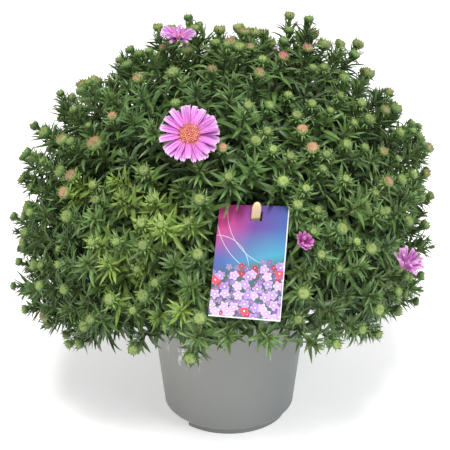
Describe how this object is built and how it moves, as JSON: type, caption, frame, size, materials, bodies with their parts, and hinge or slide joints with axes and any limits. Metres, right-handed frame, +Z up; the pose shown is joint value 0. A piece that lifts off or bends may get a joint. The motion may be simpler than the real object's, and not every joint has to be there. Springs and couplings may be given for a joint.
{
  "type": "potted bushy aster",
  "caption": "Bushy aster in a round grey nursery pot: a wide dome of narrow-leaved stems with buds and open pink flowers, and a picture card on a flat stick.",
  "frame": {"origin": "centre of the pot's foot on the surface it stands on, under the middle of the dome", "axes": "+Z up; -Y towards the viewer, the side with the card; +X to the viewer's right"},
  "size_m": [0.3441, 0.3421, 0.327],
  "materials": {
    "foliage": "matte",
    "petals": "matte",
    "bloom_disc": "matte",
    "pot_plastic": "satin",
    "compost": "matte",
    "card_print": "satin",
    "stick_wood": "matte"
  },
  "bodies": {
    "root": {"leafy_stem_01": "foliage", "leafy_stem_02": "foliage", "leafy_stem_03": "foliage", "leafy_stem_04": "foliage", "leafy_stem_05": "foliage", "leafy_stem_06": "foliage", "leafy_stem_07": "foliage", "leafy_stem_08": "foliage", "leafy_stem_09": "foliage", "leafy_stem_10": "foliage", "leafy_stem_11": "foliage", "leafy_stem_12": "foliage", "leafy_stem_13": "foliage", "leafy_stem_14": "foliage", "leafy_stem_15": "foliage", "leafy_stem_16": "foliage", "leafy_stem_17": "foliage", "leafy_stem_18": "foliage", "leafy_stem_19": "foliage", "leafy_stem_20": "foliage", "bloom_front_rays": "petals", "bloom_front_disc": "bloom_disc", "bloom_top_rays": "petals", "bloom_top_disc": "bloom_disc", "bloom_right_rays": "petals", "bloom_opening_rays": "petals", "bloom_back_rays": "petals", "bloom_back_disc": "bloom_disc", "pot": "pot_plastic", "compost": "compost", "card": "card_print", "card_stick": "stick_wood"}
  },
  "joints": []
}
